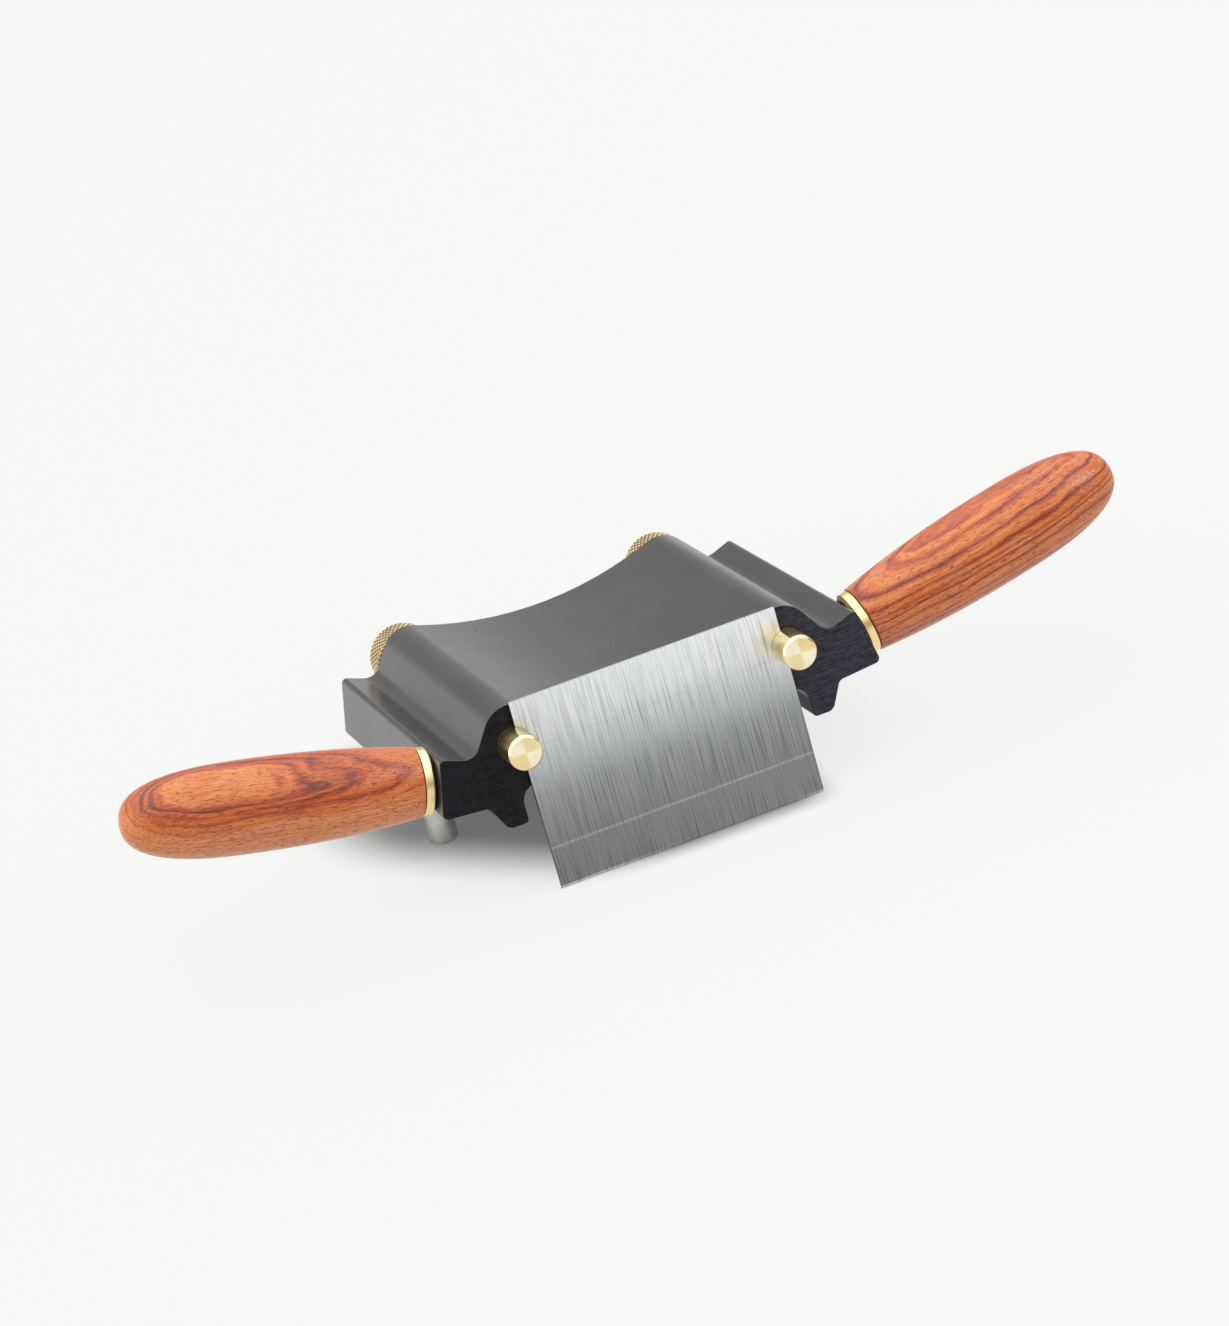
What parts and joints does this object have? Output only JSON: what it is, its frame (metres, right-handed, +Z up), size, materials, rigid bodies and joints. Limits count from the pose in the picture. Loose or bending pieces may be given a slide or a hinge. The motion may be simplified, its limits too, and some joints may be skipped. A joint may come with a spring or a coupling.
{
  "type": "handled scraper plane",
  "caption": "Scraper plane with a saddle-shaped black body, a steel blade clamped by brass pins and knurled nuts, and turned wooden side handles.",
  "frame": {"origin": "centre of the box on the bench that the tool stands on, with its rear feet, post and cutting edge at Z = 0", "axes": "+X along the blade to the right as seen from the front, +Y from the blade to the clamp nuts, +Z up from the bench"},
  "size_m": [0.3816, 0.166, 0.0788],
  "materials": {
    "black_anodised": "black anodised, satin",
    "blade_steel": "ground, grain running from top to cutting edge",
    "brass": "turned, polished",
    "plated_steel": "satin",
    "handle_wood": "turned bubinga, satin lacquer"
  },
  "bodies": {
    "frame": {"body": "black_anodised", "left_support_post": "plated_steel", "left_post_stud": "plated_steel", "left_thrust_washer": "brass", "left_handle": "handle_wood", "left_ferrule": "brass", "left_handle_stud": "plated_steel", "left_threaded_insert": "brass", "right_thrust_washer": "brass", "right_handle": "handle_wood", "right_ferrule": "brass", "right_handle_stud": "plated_steel", "right_threaded_insert": "brass"},
    "blade": {"scraper_blade": "blade_steel"},
    "left_clamp": {"left_clamp_pin": "brass", "left_clamp_stud": "plated_steel"},
    "right_clamp": {"right_clamp_pin": "brass", "right_clamp_stud": "plated_steel"},
    "left_nut": {"left_knurled_nut": "brass"},
    "right_nut": {"right_knurled_nut": "brass"}
  },
  "joints": [
    {"name": "blade_slide", "type": "slide", "parent": "frame", "child": "blade", "axis": [0, 0.1965, 0.9805], "range_m": [-0.005, 0.018]},
    {"name": "left_clamp_slide", "type": "slide", "parent": "frame", "child": "left_clamp", "axis": [0, -0.9805, 0.1965], "range_m": [0, 0.002]},
    {"name": "left_nut_turn", "type": "hinge", "parent": "frame", "child": "left_nut", "pos_m": [-0.05225, 0.0656, 0.02843], "axis": [0, 0.9805, -0.1965], "range_deg": [0, 720]},
    {"name": "right_clamp_slide", "type": "slide", "parent": "frame", "child": "right_clamp", "axis": [0, -0.9805, 0.1965], "range_m": [0, 0.002]},
    {"name": "right_nut_turn", "type": "hinge", "parent": "frame", "child": "right_nut", "pos_m": [0.05225, 0.0656, 0.02843], "axis": [0, 0.9805, -0.1965], "range_deg": [0, 720]}
  ],
  "couplings": [
    {"joint": "left_nut_turn", "follows": "left_clamp_slide", "rad_per_m": 6283},
    {"joint": "right_nut_turn", "follows": "right_clamp_slide", "rad_per_m": 6283}
  ]
}
